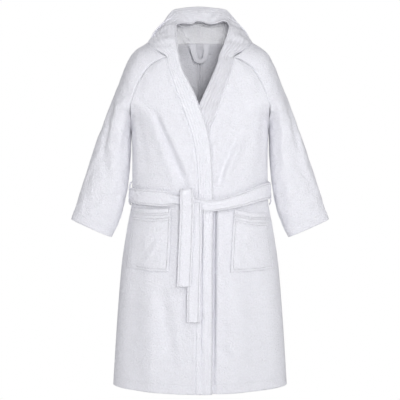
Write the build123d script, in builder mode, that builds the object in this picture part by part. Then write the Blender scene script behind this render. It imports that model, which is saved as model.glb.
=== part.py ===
from build123d import *
import math
import os

# A hooded terry bathrobe in its worn shape, with a tied belt. Millimetres, +Z up, the front
# faces -Y and the wearer's right side is at -X. The origin is where a hook bears on the
# hanging loop. Shapes are drawn in garment terms: a height is measured up from the hem, and
# a depth from the middle plane of the garment, through its side seams.

# Cloth
CLOTH = 4.0  # one layer of terry
BAND = 6.0  # quilted bands and turned hems
STRAP = 4.5  # the belt's folded and stitched strap
LAP = 7.5  # how far the over front stands out from the under front
HEM_HEIGHT = 33.0
CUFF_HEM = 28.0

# Place of the origin in the garment
HOOK_HEIGHT = 1071.0
HOOK_DEPTH = 58.0

# Garment heights
NECK = 1123.0
ARMPIT = 911.0
HOOD_TOP = 1245.0
FACE_TOP = 1190.0

# Body sections: height, half width, front depth, back depth, fullness of the corners, and
# how steeply the cloth lies over (0 upright, 1 level)
BODY = [
    (-30, 286, 129, 121, 2.0, 0),
    (0, 284, 129, 120, 2.0, 0),
    (200, 272, 128, 119, 2.0, 0),
    (400, 256, 125, 116, 2.0, 0),
    (520, 238, 119, 110, 2.0, 0),
    (620, 222, 111, 104, 2.1, 0),
    (740, 220, 113, 107, 2.2, 0),
    (840, 222, 116, 113, 2.3, 0),
    (885, 246, 117, 116, 2.5, 0.1),
    (915, 288, 116, 117, 2.8, 0.1),
    (1000, 266, 107, 111, 2.8, 0.2),
    (1055, 242, 95, 101, 2.6, 0.3),
    (1087, 219, 85, 91, 2.4, 0.5),
    (1107, 192, 76, 80, 2.3, 0.8),
    (1123, 163, 68, 68, 2.2, 0.8),
    (1145, 126, 52, 52, 2.2, 0.8),
]

# Hood sections: height, half width, centre depth, half depth
HOOD = [
    (1105, 172, -4, 70),
    (1123, 163, 0, 68),
    (1161, 144, 15, 61),
    (1199, 114, 31, 51),
    (1225, 98, 43, 39),
    (1238, 74, 50, 26),
    (1245, 34, 54, 12),
]
HOOD_FULLNESS = 2.3

# Crown sections, the part of the hood that hangs behind: height, half width, front and back
CROWN = [
    (1224, 84, 87, 142),
    (1185, 116, 88, 152),
    (1140, 138, 89, 163),
    (1090, 146, 96, 172),
    (1040, 134, 112, 178),
    (990, 104, 121, 172),
    (955, 62, 124, 158),
    (938, 26, 132, 148),
]
CROWN_FULLNESS = 2.6
CROWN_FLOOR = 1000.0  # the crown's bottom curves under below here

# Sleeve sections on the wearer's right: outer and inner end (x, height), half depth
SLEEVE = [
    ((-252, 1044), (-229, 905), 88),
    ((-274, 988), (-230, 892), 90),
    ((-295, 922), (-231, 876), 88),
    ((-337, 799), (-232, 752), 66),
    ((-391, 642), (-250, 578), 47),
    ((-421, 547), (-290, 489), 37),
]
SHOULDER_FOLD = (-251, 1046)  # the sleeve swings about this line
UNDERARM = 840.0  # below here the side seams are closed

# Seam lines on the wearer's right, seen from the front: (x, height)
RAGLAN = [(-106, 1064), (-165, 1035), (-198, 978), (-224, ARMPIT)]
BAND_SEAM = [(-15, -30), (-7, 626), (-21, 796), (-54, 901), (-84, 983), (-106, 1064)]
NECK_SEAM = [(-106, 1064), (-165, NECK)]
FREE_EDGE_CHEST = [(-70, NECK), (-67, 1068), (-54, 1029), (-25, 973), (-3, 919)]
FREE_EDGE = FREE_EDGE_CHEST + [(31, 806), (41, 609), (38, -30)]

# Pocket outlines, seen from the front, from the upper inner corner round: (x, height)
POCKET_RIGHT = [(-92, 584), (-100, 386), (-236, 391), (-214, 584)]
POCKET_LEFT = [(110, 579), (98, 385), (236, 389), (214, 566)]
POCKET_ROOM = 20.0  # how far the pocket can stand off its panel
PAST_MOUTH = 60.0

# Belt edges, seen from the front, from the wearer's right to left: (x, height)
BELT_TOP_RIGHT = [(-260, 654), (-205, 645), (-67, 634), (-13, 617)]
BELT_TOP_LEFT = [(41, 611), (106, 624), (211, 662), (260, 672)]
BELT_FOOT_LEFT = [(260, 618), (218, 611), (106, 579), (17, 571)]
BELT_FOOT_RIGHT = [(-13, 574), (-64, 584), (-195, 596), (-260, 604)]
BELT = BELT_TOP_RIGHT + BELT_TOP_LEFT + BELT_FOOT_LEFT + BELT_FOOT_RIGHT
BELT_GAP = 1.0

# Knot and tails
KNOT_X = (-62, -18)
KNOT_HEIGHTS = (584, 641)
KNOT_DEPTHS = (-127, -153)
KNOT_ROUND = 9.0
TAIL_TOP = 571
REAR_TAIL_FOOT = 228
REAR_TAIL = [(-38, TAIL_TOP), (-43, REAR_TAIL_FOOT), (-2, REAR_TAIL_FOOT), (5, TAIL_TOP)]
REAR_TAIL_DEPTHS = (-135, -147)  # at the top and at the foot
FRONT_TAIL_FOOT = 340
FRONT_TAIL = [(-62, TAIL_TOP), (-75, FRONT_TAIL_FOOT), (-30, FRONT_TAIL_FOOT), (-18, TAIL_TOP)]
FRONT_TAIL_DEPTHS = (-143, -153)

# Belt loops and hanging loop
BELT_LOOP_WIDTH = 25.0
BELT_LOOP_FOOT = 592.0
BELT_LOOP_TOP = 672.0
BELT_LOOP_CLOTH = 2.5
BELT_LOOP_SLACK = 3.0  # room between the belt and its loop
WAIST_SIDE = 222.0  # half width of the body at the belt loops
LOOP_HOLE = 26.0
LOOP_TAPE = 19.0
LOOP_TAPE_FOOT = 13.0
LOOP_CLOTH = 3.0

FAR = 600.0  # beyond the garment, across and in depth
ABOVE = 1800.0  # above the whole garment
GAP = 0.6  # clearance at a fold that moves
CROWN_GAP = 0.5  # cut at the fold where the crown hangs

FRONT_VIEW = Plane(origin=(0, -HOOK_DEPTH, -HOOK_HEIGHT), x_dir=(1, 0, 0), z_dir=(0, -1, 0))
SIDE_VIEW = Plane(origin=(0, -HOOK_DEPTH, -HOOK_HEIGHT), x_dir=(0, 1, 0), z_dir=(1, 0, 0))

os.makedirs("parts", exist_ok=True)


def level(height):
    """The horizontal plane at a height above the hem, centred on the middle plane."""
    return Plane(origin=(0, -HOOK_DEPTH, height - HOOK_HEIGHT))


def oval_points(half_width, front, back, centre, fullness, count=16):
    """Points of a superellipse whose front and back halves have their own depths."""
    points = []
    for i in range(count):
        angle = 2 * math.pi * i / count
        across = math.cos(angle)
        along = math.sin(angle)
        depth = front if along < 0 else back
        x = half_width * math.copysign(abs(across) ** (2 / fullness), across)
        y = depth * math.copysign(abs(along) ** (2 / fullness), along)
        points.append((x, centre + y))
    return points


def loft_ovals(sections):
    """One solid through ovals: (height, half width, front, back, centre, fullness) each."""
    with BuildPart() as solid:
        for height, *oval in sections:
            with BuildSketch(level(height)):
                with BuildLine():
                    Spline(*oval_points(*oval), periodic=True)
                make_face()
        loft()
    return solid.part


def body_solid(margin=0.0, lap=0.0):
    """The body's outer surface moved out by margin, with its front half a lap further out."""
    sections = []
    for height, width, front, back, fullness, lie in BODY:
        moved = height + margin * lie
        sections.append((moved, width + margin, front + margin + lap, back + margin, 0, fullness))
    return loft_ovals(sections)


def hood_solid(margin=0.0):
    """The standing part of the hood, moved out by margin."""
    sections = []
    for height, width, centre, depth in HOOD:
        moved = height + margin if height > NECK else height
        sections.append((moved, width + margin, depth + margin, depth + margin, centre, HOOD_FULLNESS))
    return loft_ovals(sections)


def crown_solid(margin=0.0):
    """The hanging crown, moved out by margin."""
    sections = []
    for height, width, front, back in CROWN:
        moved = height - margin if height < CROWN_FLOOR else height
        depth = (back - front) / 2 + margin
        centre = (front + back) / 2
        sections.append((moved, width + margin, depth, depth, centre, CROWN_FULLNESS))
    return loft_ovals(sections)


def sleeve_solid(margin=0.0):
    """The sleeve's tube on the wearer's right, moved out by margin."""
    with BuildPart() as tube:
        for outer, inner, depth in SLEEVE:
            across = Vector(inner[0] - outer[0], 0, inner[1] - outer[1])
            centre = ((outer[0] + inner[0]) / 2, -HOOK_DEPTH, (outer[1] + inner[1]) / 2 - HOOK_HEIGHT)
            up_the_sleeve = across.cross(Vector(0, 1, 0))
            with BuildSketch(Plane(origin=centre, x_dir=across, z_dir=up_the_sleeve)):
                with BuildLine():
                    half_width = across.length / 2 + margin
                    half_depth = depth + margin
                    Spline(*oval_points(half_width, half_depth, half_depth, 0, 2.0), periodic=True)
                make_face()
        loft()
    return tube.part


def front_prism(outline, front=FAR, back=FAR):
    """The outline seen from the front, as a prism from front to back of the middle plane."""
    with BuildPart() as prism:
        with BuildSketch(FRONT_VIEW.offset(-back)):
            with BuildLine():
                Polyline(*outline, close=True)
            make_face()
        extrude(amount=front + back)
    return prism.part


def side_prism(outline, half_width=FAR):
    """The outline (depth, height) seen from the side, as a prism across the garment."""
    with BuildPart() as prism:
        with BuildSketch(SIDE_VIEW):
            with BuildLine():
                Polyline(*outline, close=True)
            make_face()
        extrude(amount=half_width, both=True)
    return prism.part


def mirrored(outline):
    """The same outline on the wearer's other side."""
    return [(-x, height) for x, height in outline]


def between(low, high):
    """A prism that keeps everything from one height to another."""
    return front_prism([(-FAR, low), (FAR, low), (FAR, high), (-FAR, high)])


def save(part, name):
    """Label a finished piece and write it."""
    part.label = name
    export_step(part, f"parts/{name}.step")


# The garment's hollow: one cloth thick above the hem, and a hem thick below it
def hollow(lap):
    """What is inside the cloth of the panels."""
    with BuildPart() as inside:
        add(body_solid(-CLOTH, lap))
        add(between(HEM_HEIGHT, ABOVE), mode=Mode.INTERSECT)
        add(body_solid(-BAND, lap))
    return inside.part


SIDES = [("right", 1, LAP), ("left", -1, 0.0)]


def on_side(outline, side):
    """An outline drawn on the wearer's right, as it lies on the named side."""
    return outline if side > 0 else mirrored(outline)


# Fronts: each runs from its side seam to its band, below the raglan seam
PANEL = BAND_SEAM + RAGLAN[1:] + [(-224, UNDERARM), (-FAR, UNDERARM), (-FAR, 0)]
PANEL = [(x, max(height, 0)) for x, height in PANEL]
STRIP = [(x, max(height, 0)) for x, height in BAND_SEAM + NECK_SEAM[1:] + FREE_EDGE]
bodies = {name: body_solid(0, lap) for name, side, lap in SIDES}
hollows = {name: hollow(lap) for name, side, lap in SIDES}

for name, side, lap in SIDES:
    with BuildPart() as front_panel:
        add(bodies[name])
        add(hollows[name], mode=Mode.SUBTRACT)
        add(front_prism(on_side(PANEL, side), back=0), mode=Mode.INTERSECT)
    save(front_panel.part, f"front_panel_{name}")

    with BuildPart() as front_band:
        add(bodies[name])
        add(body_solid(-BAND, lap), mode=Mode.SUBTRACT)
        add(front_prism(on_side(STRIP, side), back=0), mode=Mode.INTERSECT)
    save(front_band.part, f"front_band_{name}")

# Back: one panel between the side seams and the two raglan seams
BACK_SHOULDER = [(-224, UNDERARM), (-224, ARMPIT), (-198, 978), (-165, 1035), (-100, NECK)]
BACK_SIDE = [(-FAR, 0), (-FAR, UNDERARM)]
BACK = BACK_SIDE + BACK_SHOULDER + mirrored(BACK_SHOULDER[::-1]) + mirrored(BACK_SIDE[::-1])
with BuildPart() as back_panel:
    add(bodies["left"])
    add(hollows["left"], mode=Mode.SUBTRACT)
    add(front_prism(BACK, front=0), mode=Mode.INTERSECT)
save(back_panel.part, "back_panel")

# Sleeve heads: the raglan shoulders, from the neck out to the fold under the arm
FOLD = [(SHOULDER_FOLD[0] + 2 * GAP, SHOULDER_FOLD[1]), (-227, ARMPIT)]
HEAD_FRONT = NECK_SEAM[::-1] + RAGLAN[1:] + FOLD[::-1] + [(FOLD[0][0], NECK)]
HEAD_BACK = BACK_SHOULDER[::-1][:-1] + FOLD[::-1] + [(FOLD[0][0], NECK)]
for name, side, lap in SIDES:
    with BuildPart() as sleeve_head:
        add(bodies[name])
        add(body_solid(-CLOTH, lap), mode=Mode.SUBTRACT)
        with BuildPart(mode=Mode.PRIVATE) as both_faces:
            add(front_prism(on_side(HEAD_FRONT, side), back=0))
            add(front_prism(on_side(HEAD_BACK, side), front=0))
        add(both_faces.part, mode=Mode.INTERSECT)
    save(sleeve_head.part, f"sleeve_head_{name}")

# Sleeves: tubes from the shoulder fold to the cuff, whose hem is turned up inside
cuff_outer, cuff_inner = (Vector(*end) for end in SLEEVE[-1][:2])
hem_rise = (cuff_inner - cuff_outer).normalized().rotate(Axis.Z, 90) * CUFF_HEM
CUFF = [cuff_outer + hem_rise, cuff_inner + hem_rise]
slope = (CUFF[1] - CUFF[0]) * 2
ABOVE_CUFF = [CUFF[0] - slope, CUFF[1] + slope, Vector(0, NECK), Vector(-FAR, NECK)]
with BuildPart() as sleeve_right:
    add(sleeve_solid())
    with BuildPart(mode=Mode.PRIVATE) as arm_room:
        add(sleeve_solid(-CLOTH))
        add(front_prism([(corner.X, corner.Y) for corner in ABOVE_CUFF]), mode=Mode.INTERSECT)
        add(sleeve_solid(-BAND))
    add(arm_room.part, mode=Mode.SUBTRACT)
with BuildPart() as sleeve_left:
    add(mirror(sleeve_right.part, about=Plane.YZ, mode=Mode.PRIVATE))
save(sleeve_right.part, "sleeve_right")
save(sleeve_left.part, "sleeve_left")

# Hood, standing part: the band arches over the face opening, and the wall stands behind it
LEAN = [(0, NECK), (14, 1161), (36, 1199), (66, HOOD_TOP)]
IN_FRONT = LEAN + [(66, ABOVE), (-FAR, ABOVE), (-FAR, NECK)]
BEHIND = LEAN + [(66, ABOVE), (FAR, ABOVE), (FAR, NECK)]
CHIN = NECK - 50
FACE = [(-71, CHIN), (-80, 1172), (-58, FACE_TOP), (62, FACE_TOP), (84, 1172), (71, CHIN)]
hood_outer = hood_solid()
with BuildPart() as hood_band:
    add(hood_outer)
    add(hood_solid(-BAND), mode=Mode.SUBTRACT)
    add(side_prism(IN_FRONT), mode=Mode.INTERSECT)
    add(front_prism(FACE), mode=Mode.SUBTRACT)
save(hood_band.part, "hood_band")
with BuildPart() as hood_stand:
    add(hood_outer)
    add(hood_solid(-CLOTH), mode=Mode.SUBTRACT)
    add(side_prism(BEHIND), mode=Mode.INTERSECT)
save(hood_stand.part, "hood_stand")

# Hood, hanging part: a pouch open at the top, sewn of two halves along the centre seam
with BuildPart() as crown_bag:
    add(crown_solid())
    add(crown_solid(-CLOTH), mode=Mode.SUBTRACT)
    add(between(0, CROWN[0][0] - CROWN_GAP), mode=Mode.INTERSECT)
for name, side, lap in SIDES:
    with BuildPart() as hood_crown:
        add(crown_bag.part)
        half = [(0, 0), (-FAR * side, 0), (-FAR * side, ABOVE), (0, ABOVE)]
        add(front_prism(half), mode=Mode.INTERSECT)
    save(hood_crown.part, f"hood_crown_{name}")

# Patch pockets: a cloth that stands off its panel, sewn down at the sides and the foot
def inset(outline, amount):
    """A pocket outline moved in at the sides and the foot, and well past the mouth."""
    inner_top, inner_foot, outer_foot, outer_top = outline
    inward = math.copysign(amount, outer_foot[0])
    return [
        (inner_top[0] + inward, inner_top[1] + PAST_MOUTH),
        (inner_foot[0] + inward, inner_foot[1] + amount),
        (outer_foot[0] - inward, outer_foot[1] + amount),
        (outer_top[0] - inward, outer_top[1] + PAST_MOUTH),
    ]


for (name, side, lap), outline in zip(SIDES, (POCKET_RIGHT, POCKET_LEFT)):
    with BuildPart() as pocket:
        add(body_solid(POCKET_ROOM + CLOTH, lap))
        add(front_prism(outline, back=0), mode=Mode.INTERSECT)
        with BuildPart(mode=Mode.PRIVATE) as hand_room:
            add(body_solid(POCKET_ROOM, lap))
            add(front_prism(inset(outline, CLOTH), back=0), mode=Mode.INTERSECT)
        add(hand_room.part, mode=Mode.SUBTRACT)
        add(body_solid(GAP, lap), mode=Mode.SUBTRACT)
    save(pocket.part, f"pocket_{name}")

# Belt: a ring round the waist, its knot, and the two tails
belt_inner = body_solid(BELT_GAP, LAP)
belt_outer = body_solid(BELT_GAP + STRAP, LAP)
with BuildPart() as belt_waist:
    add(belt_outer)
    add(belt_inner, mode=Mode.SUBTRACT)
    add(front_prism(BELT), mode=Mode.INTERSECT)
save(belt_waist.part, "belt_waist")

with BuildPart() as belt_knot:
    with BuildSketch(FRONT_VIEW.offset(-KNOT_DEPTHS[0])):
        with Locations((sum(KNOT_X) / 2, sum(KNOT_HEIGHTS) / 2)):
            knot_width = KNOT_X[1] - KNOT_X[0]
            RectangleRounded(knot_width, KNOT_HEIGHTS[1] - KNOT_HEIGHTS[0], KNOT_ROUND)
    extrude(amount=KNOT_DEPTHS[0] - KNOT_DEPTHS[1])
    fillet(belt_knot.faces().sort_by(Axis.Y)[0].edges(), KNOT_ROUND - 1)
save(belt_knot.part, "belt_knot")


def tail(outline, depths, foot):
    """A hanging strap: its outline from the front, and the slope that it hangs at."""
    top_depth, foot_depth = depths
    half = STRAP / 2
    slope = [
        (top_depth - half, TAIL_TOP),
        (top_depth + half, TAIL_TOP),
        (foot_depth + half, foot),
        (foot_depth - half, foot),
    ]
    with BuildPart() as strap:
        add(side_prism(slope))
        add(front_prism(outline), mode=Mode.INTERSECT)
    return strap.part


save(tail(REAR_TAIL, REAR_TAIL_DEPTHS, REAR_TAIL_FOOT), "belt_tail_rear")
save(tail(FRONT_TAIL, FRONT_TAIL_DEPTHS, FRONT_TAIL_FOOT), "belt_tail_front")

# Belt loops at the side seams: a tab that passes outside the belt
for name, side, lap in SIDES:
    with BuildPart() as belt_loop:
        wall = WAIST_SIDE + GAP
        crest = wall + BELT_GAP + STRAP + BELT_LOOP_SLACK
        with BuildSketch(FRONT_VIEW):
            with BuildLine():
                Polyline(
                    (-wall * side, BELT_LOOP_TOP),
                    (-crest * side, BELT_LOOP_TOP - 8),
                    (-(crest + 2) * side, BELT_LOOP_FOOT + 6),
                    (-(wall + 4) * side, BELT_LOOP_FOOT),
                )
            trace(line_width=BELT_LOOP_CLOTH)
        extrude(amount=BELT_LOOP_WIDTH / 2, both=True)
    save(belt_loop.part, f"belt_loop_{name}")

# Hanging loop: a flat tape doubled at the back neck seam
with BuildPart() as hanging_loop:
    with BuildSketch(FRONT_VIEW.offset(-HOOK_DEPTH - LOOP_CLOTH / 2)):
        bend = HOOK_HEIGHT + LOOP_HOLE / 2
        inner = LOOP_HOLE / 2
        outer = inner + LOOP_TAPE_FOOT
        root = inner + LOOP_TAPE
        with BuildLine():
            Line((root, NECK - 1), (outer, bend))
            RadiusArc((outer, bend), (-outer, bend), outer)
            Line((-outer, bend), (-root, NECK - 1))
            Line((-root, NECK - 1), (root, NECK - 1))
        make_face()
        with BuildLine():
            Line((inner, NECK), (inner, bend))
            RadiusArc((inner, bend), (-inner, bend), inner)
            Line((-inner, bend), (-inner, NECK))
            Line((-inner, NECK), (inner, NECK))
        make_face(mode=Mode.SUBTRACT)
    extrude(amount=LOOP_CLOTH)
save(hanging_loop.part, "hanging_loop")
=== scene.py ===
import math

import bpy
import numpy as np
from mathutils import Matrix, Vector


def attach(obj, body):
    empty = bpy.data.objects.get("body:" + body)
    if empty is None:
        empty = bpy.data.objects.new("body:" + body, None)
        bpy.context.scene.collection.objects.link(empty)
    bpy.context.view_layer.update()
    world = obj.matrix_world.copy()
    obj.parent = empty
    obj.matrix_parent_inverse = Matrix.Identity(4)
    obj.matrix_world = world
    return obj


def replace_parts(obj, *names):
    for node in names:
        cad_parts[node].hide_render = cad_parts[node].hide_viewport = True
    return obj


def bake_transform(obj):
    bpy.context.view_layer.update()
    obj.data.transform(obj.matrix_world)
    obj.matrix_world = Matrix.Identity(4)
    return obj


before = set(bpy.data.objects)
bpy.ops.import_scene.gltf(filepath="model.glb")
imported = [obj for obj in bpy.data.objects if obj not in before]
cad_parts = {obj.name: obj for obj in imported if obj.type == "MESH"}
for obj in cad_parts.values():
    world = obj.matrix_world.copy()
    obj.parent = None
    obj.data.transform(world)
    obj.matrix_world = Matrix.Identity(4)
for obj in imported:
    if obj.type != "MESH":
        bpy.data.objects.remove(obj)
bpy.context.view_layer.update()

# The bathrobe is drawn in garment terms, in millimetres: x across (the wearer's right is
# negative), y back from the plane of the side seams, h up from the hem. A point is (x, y, h).
HOOK_DEPTH = 58.0
HOOK_HEIGHT = 1071.0

CLOTH = 4.0
STRAP = 4.5
LAP = 7.5  # how far the over front stands out from the under front
UNDERARM = 840.0  # height where the armhole's seam starts
ARMHOLE_FOOT = 841.0  # the side seam ends here and the panels' edges follow the armhole
ARMHOLE_HALF = 223.5  # half width of the panels along the lower armhole
ARMPIT = 911.0  # height where the raglan seams start
HEM_HALF = 284.0
FRONT_TOP = 1062.0
BACK_TOP = 1126.0
BELT_HEIGHT = 612.0
NO_SEAM = 1e3  # a distance to a seam that is too far to matter

# Rows and columns of the sheets
PANEL_ROWS = 250
FRONT_COLUMNS = 84
BACK_COLUMNS = 150
SLEEVE_GRID = (190, 130)
BAND_GRID = (700, 56)
LINING_GRID = (70, 150)
HOOD_GRID = (170, 70)
POCKET_GRID = (92, 72)
BELT_GRID = (26, 420)
HANGER_GRID = (110, 14)

# Body sections: height, half width, front depth, back depth, fullness
BODY = [
    (-30, 286, 129, 121, 2.0),
    (0, 284, 129, 120, 2.0),
    (200, 272, 128, 119, 2.0),
    (400, 256, 125, 116, 2.0),
    (520, 238, 119, 110, 2.0),
    (620, 222, 111, 104, 2.1),
    (740, 221, 113, 107, 2.4),
    (840, 223.5, 116, 113, 2.75),
    (860, 225, 116, 114, 2.75),
    (872, 229, 116, 115, 2.8),
    (885, 240, 117, 116, 2.8),
    (900, 262, 117, 117, 2.8),
    (915, 288, 116, 117, 2.8),
    (1000, 266, 107, 111, 2.8),
    (1055, 242, 95, 101, 2.6),
    (1087, 219, 85, 91, 2.4),
    (1107, 192, 76, 80, 2.3),
    (1123, 163, 68, 68, 2.2),
    (1145, 126, 52, 52, 2.2),
]

# Seams on one side: half width at each height
RAGLAN_FRONT = [(911, 223), (942, 213), (978, 198), (1010, 180), (1035, 161), (1052, 134), (1064, 106)]
RAGLAN_BACK = [(911, 224), (978, 198), (1035, 165), (1075, 136), (1123, 100)]
BAND_SEAM = [(0, 14), (296, 11), (625, 6), (703, 9), (788, 20), (889, 52), (968, 80), (1044, 103)]
BAND_SEAM += [(1064, 106)]

# The band's free edge on the over front and on the under front: x across at each height
FREE_EDGE = [(0, 37), (330, 38), (609, 40), (672, 39), (798, 30), (905, -3), (958, -24), (1013, -52)]
FREE_EDGE += [(1052, -65)]
UNDER_EDGE = [(0, -36), (330, -38), (609, -40), (672, -39), (798, -30), (906, -3), (958, 20), (1010, 43)]
UNDER_EDGE += [(1060, 62)]


def through(keys, values, at, tight=True):
    """Values on a smooth curve through those given at rising keys. A tight curve never overshoots them."""
    keys = np.asarray(keys, float)
    values = np.asarray(values, float)
    flat = values.reshape(len(keys), -1)
    step = np.diff(keys)[:, None]
    slope = np.diff(flat, axis=0) / step
    tangent = np.empty_like(flat)
    tangent[0] = slope[0]
    tangent[-1] = slope[-1]
    before, after = slope[:-1], slope[1:]
    if tight:
        product = before * after
        total = before + after
        safe = np.where(np.abs(total) < 1e-12, 1.0, total)
        tangent[1:-1] = np.where(product > 0, 2 * product / safe, 0.0)
    else:
        tangent[1:-1] = (before * step[1:] + after * step[:-1]) / (step[1:] + step[:-1])
    at = np.clip(np.asarray(at, float), keys[0], keys[-1])
    index = np.clip(np.searchsorted(keys, at) - 1, 0, len(keys) - 2)
    width = step[index, 0]
    t = ((at - keys[index]) / width)[..., None]
    width = width[..., None]
    result = (
        (2 * t**3 - 3 * t**2 + 1) * flat[index]
        + (t**3 - 2 * t**2 + t) * width * tangent[index]
        + (3 * t**2 - 2 * t**3) * flat[index + 1]
        + (t**3 - t**2) * width * tangent[index + 1]
    )
    return result.reshape(np.shape(at) + values.shape[1:])


def along(points, count):
    """count points evenly spaced on a smooth curve through the given ones."""
    points = np.asarray(points, float)
    keys = np.r_[0, np.cumsum(np.linalg.norm(np.diff(points[:, :3], axis=0), axis=1))]
    fine = through(keys, points, np.linspace(0, keys[-1], 600), tight=False)
    length = np.r_[0, np.cumsum(np.linalg.norm(np.diff(fine[:, :3], axis=0), axis=1))]
    at = np.linspace(0, 1, count) * length[-1]
    return np.stack([np.interp(at, length, column) for column in fine.T], axis=1)


def crowded(count, crowding=0.7):
    """Shares from 0 to 1 that lie closer together near both ends."""
    t = np.linspace(0, 1, count)
    return t - crowding * np.sin(2 * math.pi * t) / (2 * math.pi)


def ramp(value, low, high):
    """0 below low, 1 above high and smooth between."""
    t = np.clip((np.asarray(value, float) - low) / (high - low), 0, 1)
    return t * t * (3 - 2 * t)


def bump(value, centre, width):
    """A smooth bump of height 1."""
    return np.exp(-(((np.asarray(value, float) - centre) / width) ** 2))


def half_width(table, h):
    """A seam's half width at a height."""
    keys, values = zip(*table)
    return through(keys, values, h)


def body_section(h):
    """Half width, front depth, back depth and fullness of the body at a height."""
    table = np.array(BODY, float)
    section = through(table[:, 0], table[:, 1:], h)
    return tuple(np.moveaxis(section, -1, 0))


# Folds seen on the front: a polyline of (x, h), half width, and height out of the cloth
FRONT_FOLDS = [
    ([(-150, 905), (-134, 862), (-98, 780), (-66, 712), (-44, 650)], 9, -11),
    ([(-128, 880), (-112, 850), (-78, 780), (-48, 712), (-30, 655)], 13, 8),
    ([(-168, 900), (-150, 850), (-122, 770), (-95, 700), (-75, 650)], 15, 7),
    ([(-200, 940), (-178, 915), (-134, 868)], 12, -5),
    ([(-204, 905), (-190, 840), (-178, 760), (-170, 665)], 11, -5),
    ([(-214, 880), (-207, 800), (-203, 700), (-200, 655)], 8, 5),
    ([(49, 625), (60, 665), (71, 704), (94, 765), (128, 831)], 11, -9),
    ([(72, 640), (92, 700), (118, 765), (150, 830)], 14, 7),
    ([(30, 700), (44, 760), (72, 830), (96, 890)], 14, 5),
    ([(206, 925), (203, 850), (198, 760), (196, 670)], 10, -6),
    ([(182, 930), (180, 850), (172, 760), (160, 670)], 15, 4),
    ([(110, 1000), (140, 930), (168, 870)], 16, -3),
    ([(-125, 360), (-118, 280), (-100, 180), (-77, 20)], 20, -9),
    ([(-158, 340), (-160, 200), (-166, 20)], 24, 5),
    ([(-200, 560), (-206, 380), (-222, 180), (-232, 20)], 20, -5),
    ([(60, 560), (62, 420), (70, 240), (76, 20)], 20, -4),
    ([(120, 370), (128, 250), (140, 120), (150, 10)], 26, 5),
    ([(182, 380), (196, 240), (208, 120), (214, 10)], 22, -5),
    ([(71, 226), (80, 200), (86, 170)], 16, -4),
    ([(60, 150), (80, 122), (104, 104)], 14, -4),
    ([(-30, 560), (-34, 420), (-44, 260), (-52, 60)], 16, -4),
    ([(8, 640), (8, 500), (7, 300), (5, -40)], 3.5, -6),
]

# The under front falls back beside the over front's free edge
UNDER_FOLDS = [
    ([(47, 640), (46, 560), (45, 470), (44, 300), (43, 0)], 5.5, -24),
    ([(120, 560), (100, 430), (92, 300), (96, 10)], 30, 4),
]

# Folds seen on the back
BACK_FOLDS = [
    ([(-150, 900), (-110, 800), (-80, 700), (-60, 640)], 18, -6),
    ([(150, 900), (112, 800), (84, 700), (66, 640)], 18, -6),
    ([(-60, 980), (-40, 860), (-28, 740), (-20, 650)], 20, 5),
    ([(70, 960), (46, 850), (30, 740), (24, 650)], 20, 4),
    ([(-190, 900), (-184, 800), (-176, 660)], 14, -5),
    ([(190, 900), (184, 800), (176, 660)], 14, -5),
    ([(-90, 590), (-110, 400), (-140, 200), (-160, 10)], 26, -7),
    ([(-30, 590), (-34, 400), (-40, 200), (-44, 10)], 30, 6),
    ([(40, 590), (56, 400), (76, 200), (90, 10)], 26, -7),
    ([(130, 590), (150, 400), (176, 200), (190, 10)], 28, 6),
    ([(-170, 590), (-196, 380), (-214, 10)], 24, 5),
]


def relief(x, h, folds):
    """How far the listed folds lift the cloth at each place, in mm."""
    lift = np.zeros(np.shape(x))
    for line, width, height in folds:
        line = np.asarray(line, float)
        near = np.full(np.shape(x), 1e9)
        share = np.zeros(np.shape(x))
        pieces = len(line) - 1
        for i in range(pieces):
            a, b = line[i], line[i + 1]
            d = b - a
            t = np.clip(((x - a[0]) * d[0] + (h - a[1]) * d[1]) / (d @ d), 0, 1)
            distance = np.hypot(x - a[0] - t * d[0], h - a[1] - t * d[1])
            closer = distance < near
            share = np.where(closer, (i + t) / pieces, share)
            near = np.where(closer, distance, near)
        fade = ramp(share, 0, 0.3) * (1 - 0.75 * ramp(share, 0.75, 1.0))
        lift += height * fade * np.exp(-((near / width) ** 2))
    return lift


def skirt_wave(x, h, seed):
    """Slow waves of the hanging skirt, stronger towards the hem."""
    rng = np.random.default_rng(seed)
    wave = np.zeros(np.shape(x))
    for length in (210, 128, 88):
        phase, lean = rng.uniform(0, 2 * math.pi), rng.uniform(-0.12, 0.12)
        wave += length / 90 * np.sin(2 * math.pi * (x + lean * h) / length + phase)
    return wave * (1 - ramp(h, 60, 600))


def puckers(x, h, seed, size=34.0, height=1.0):
    """Small irregular softness of terry that has been worn, in mm."""
    rng = np.random.default_rng(seed)
    field = np.zeros(np.shape(x))
    for k in range(9):
        angle = rng.uniform(0, math.pi)
        length = size * rng.uniform(0.7, 2.2)
        phase = rng.uniform(0, 2 * math.pi, 2)
        u = x * math.cos(angle) + h * math.sin(angle)
        v = -x * math.sin(angle) + h * math.cos(angle)
        bend = 1.7 * np.sin(2 * math.pi * v / (length * 2.3) + phase[1])
        field += np.sin(2 * math.pi * u / length + phase[0] + bend)
    return field * height / 3


def front_y(x, h, lap, margin=0.0):
    """Depth of the front's outer surface where it is seen at (x, h)."""
    width, front, back, fullness = body_section(h)
    width = width + margin
    across = np.clip(np.abs(x) / width, 0, 1)
    share = (1 - across**fullness) ** (1 / fullness)
    moved = relief(x, h, FRONT_FOLDS) + skirt_wave(x, h, 5) + puckers(x, h, 11, height=0.7)
    moved = moved + np.where(np.asarray(lap) > 0, 0.0, 1.0) * relief(x, h, UNDER_FOLDS)
    moved = moved * (1 - 0.8 * bump(h, BELT_HEIGHT, 34))  # the belt presses the folds flat
    return -(front + lap + margin + moved * np.clip(share * 1.4, 0, 1)) * share


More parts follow.
